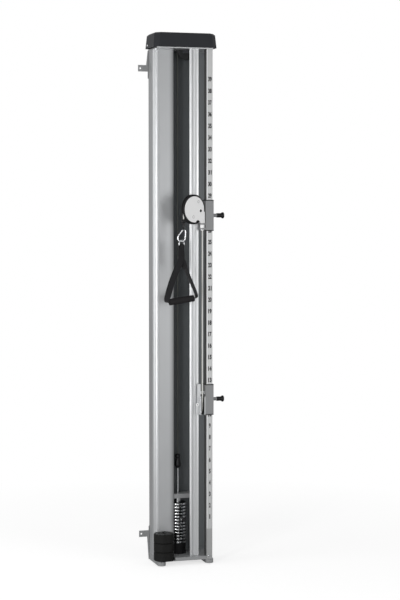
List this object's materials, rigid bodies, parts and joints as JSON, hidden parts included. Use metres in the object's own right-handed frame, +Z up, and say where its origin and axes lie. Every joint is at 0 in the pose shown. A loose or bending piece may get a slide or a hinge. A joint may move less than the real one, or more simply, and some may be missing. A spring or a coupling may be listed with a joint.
{
  "type": "cable machine",
  "caption": "Tall wall-mounted cable machine with a round weight stack, a numbered guide rail, sliding pulley carriages and a strap handle.",
  "frame": {"origin": "centre of the outline on the floor, between the tips of the left ears and the locking knobs, and between the wall and the front of the handle", "axes": "+Z up, -Y towards the user, +X to the right as the user sees it, with the guide rail on the right"},
  "size_m": [0.3474, 0.2058, 2.303],
  "materials": {
    "aluminium_silver": "satin anodised",
    "aluminium_rib": "satin anodised",
    "aluminium_dark": "satin anodised",
    "rail_steel": "satin",
    "painted_grey": "satin",
    "plated_steel": "satin",
    "black_plastic": "satin",
    "rubber": "matt",
    "cap_plastic": "satin",
    "chrome": "polished",
    "white_cheek": "gloss",
    "cable": "coated steel rope",
    "webbing": "woven",
    "spare_iron": "painted"
  },
  "bodies": {
    "column": {"left_runner": "painted_grey", "right_runner": "painted_grey", "runner_plugs": "painted_grey", "floor_pads": "rubber", "base_plate": "painted_grey", "wall_bracket_top": "painted_grey", "wall_bracket_bottom": "painted_grey", "back_panel": "aluminium_dark", "left_cover": "aluminium_silver", "front_rib": "aluminium_rib", "guide_rail": "rail_steel", "scale_strip": "rail_steel", "top_plate": "plated_steel", "top_cap": "cap_plastic", "screws": "chrome", "top_pulley_bracket": "plated_steel", "top_pulley_axle": "chrome", "stack_bumper": "rubber", "resting_plates": "chrome", "top_cable_bend": "cable", "return_cable": "cable", "riser_cable_low": "cable"},
    "top_wheel": {"top_pulley": "black_plastic"},
    "moving_stack": {"selector_rod": "chrome", "head_bar": "painted_grey", "lift_rod": "chrome", "stack_stopper": "black_plastic", "weight_plate_1": "chrome", "weight_plate_2": "chrome", "weight_plate_3": "chrome", "weight_plate_4": "chrome", "weight_plate_5": "chrome", "stack_cable": "cable"},
    "pin": {"selector_pin": "black_plastic"},
    "upper_slider": {"upper_carriage": "painted_grey", "upper_carriage_ends": "black_plastic", "riser_cable_high": "cable"},
    "upper_lock": {"upper_lock_pin": "black_plastic"},
    "lower_slider": {"lower_carriage": "painted_grey", "lower_carriage_ends": "black_plastic", "lower_pulley_bracket": "plated_steel", "lower_pulley_axle": "chrome", "lower_cable_bend": "cable"},
    "lower_lock": {"lower_lock_pin": "black_plastic"},
    "lower_wheel": {"lower_pulley": "black_plastic"},
    "swivel": {"swivel_cheeks": "white_cheek", "swivel_pulley_axle": "chrome", "swivel_cable_bend": "cable"},
    "swivel_wheel": {"swivel_pulley": "black_plastic"},
    "cable_end": {"pull_cable": "cable", "handle_stopper": "black_plastic", "snap_hook": "chrome"},
    "gate": {"snap_hook_gate": "chrome"},
    "handle": {"handle_ring": "chrome", "handle_strap": "webbing"},
    "grip": {"handle_grip": "rubber"},
    "spare_low": {"spare_weight_1": "spare_iron"},
    "spare_middle": {"spare_weight_2": "spare_iron"},
    "spare_high": {"spare_weight_3": "spare_iron"}
  },
  "joints": [
    {"name": "upper_carriage_slide", "type": "slide", "parent": "column", "child": "upper_slider", "axis": [0, 0, 1], "range_m": [-0.35, 0.6], "deforming": ["riser_cable_high"]},
    {"name": "lower_carriage_slide", "type": "slide", "parent": "column", "child": "lower_slider", "axis": [0, 0, 1], "range_m": [-0.5, 0.3], "deforming": ["return_cable", "riser_cable_low"]},
    {"name": "upper_lock_slide", "type": "slide", "parent": "upper_slider", "child": "upper_lock", "axis": [-1, 0, 0], "range_m": [0, 0.01]},
    {"name": "lower_lock_slide", "type": "slide", "parent": "lower_slider", "child": "lower_lock", "axis": [-1, 0, 0], "range_m": [0, 0.01]},
    {"name": "swivel_hinge", "type": "hinge", "parent": "upper_slider", "child": "swivel", "pos_m": [0.07475, -0.04013, 1.478], "axis": [0, 0, 1], "range_deg": [-8, 63]},
    {"name": "swivel_pulley_spin", "type": "hinge", "parent": "swivel", "child": "swivel_wheel", "pos_m": [0.02485, -0.06555, 1.548], "axis": [0.454, -0.891, 0], "continuous": true},
    {"name": "lower_pulley_spin", "type": "hinge", "parent": "lower_slider", "child": "lower_wheel", "pos_m": [0.07475, -0.00013, 0.696], "axis": [1, 0, 0], "continuous": true},
    {"name": "top_pulley_spin", "type": "hinge", "parent": "column", "child": "top_wheel", "pos_m": [0.033, 0.04887, 2.244], "axis": [0.2107, 0.9775, 0], "continuous": true},
    {"name": "stack_lift", "type": "slide", "parent": "column", "child": "moving_stack", "axis": [0, 0, 1], "range_m": [0, 1.65], "deforming": ["stack_cable"]},
    {"name": "selector_pin_pull", "type": "slide", "parent": "moving_stack", "child": "pin", "axis": [0, -1, 0], "range_m": [0, 0.05]},
    {"name": "handle_pull", "type": "slide", "parent": "swivel", "child": "cable_end", "axis": [-0.891, -0.454, 0], "range_m": [0, 1.65]},
    {"name": "hook_gate_hinge", "type": "hinge", "parent": "cable_end", "child": "gate", "pos_m": [-0.01917, -0.09277, 1.4211], "axis": [0.2924, 0.9563, 0], "range_deg": [-25, 0], "stiffness_Nm_per_rad": 0.01},
    {"name": "handle_swing", "type": "hinge", "parent": "cable_end", "child": "handle", "pos_m": [-0.03344, -0.08804, 1.41117], "axis": [0.9563, -0.2924, 0], "range_deg": [-60, 5]},
    {"name": "grip_spin", "type": "hinge", "parent": "handle", "child": "grip", "pos_m": [-0.03355, -0.08837, 1.15977], "axis": [0.9903, 0, 0.1392], "continuous": true},
    {"name": "spare_low_lift", "type": "slide", "parent": "column", "child": "spare_low", "axis": [0, 0, 1], "range_m": [0, 0.3]},
    {"name": "spare_middle_lift", "type": "slide", "parent": "spare_low", "child": "spare_middle", "axis": [0, 0, 1], "range_m": [0, 0.3]},
    {"name": "spare_high_lift", "type": "slide", "parent": "spare_middle", "child": "spare_high", "axis": [0, 0, 1], "range_m": [0, 0.3]}
  ],
  "couplings": [
    {"joint": "handle_pull", "follows": "stack_lift", "ratio": 1}
  ]
}
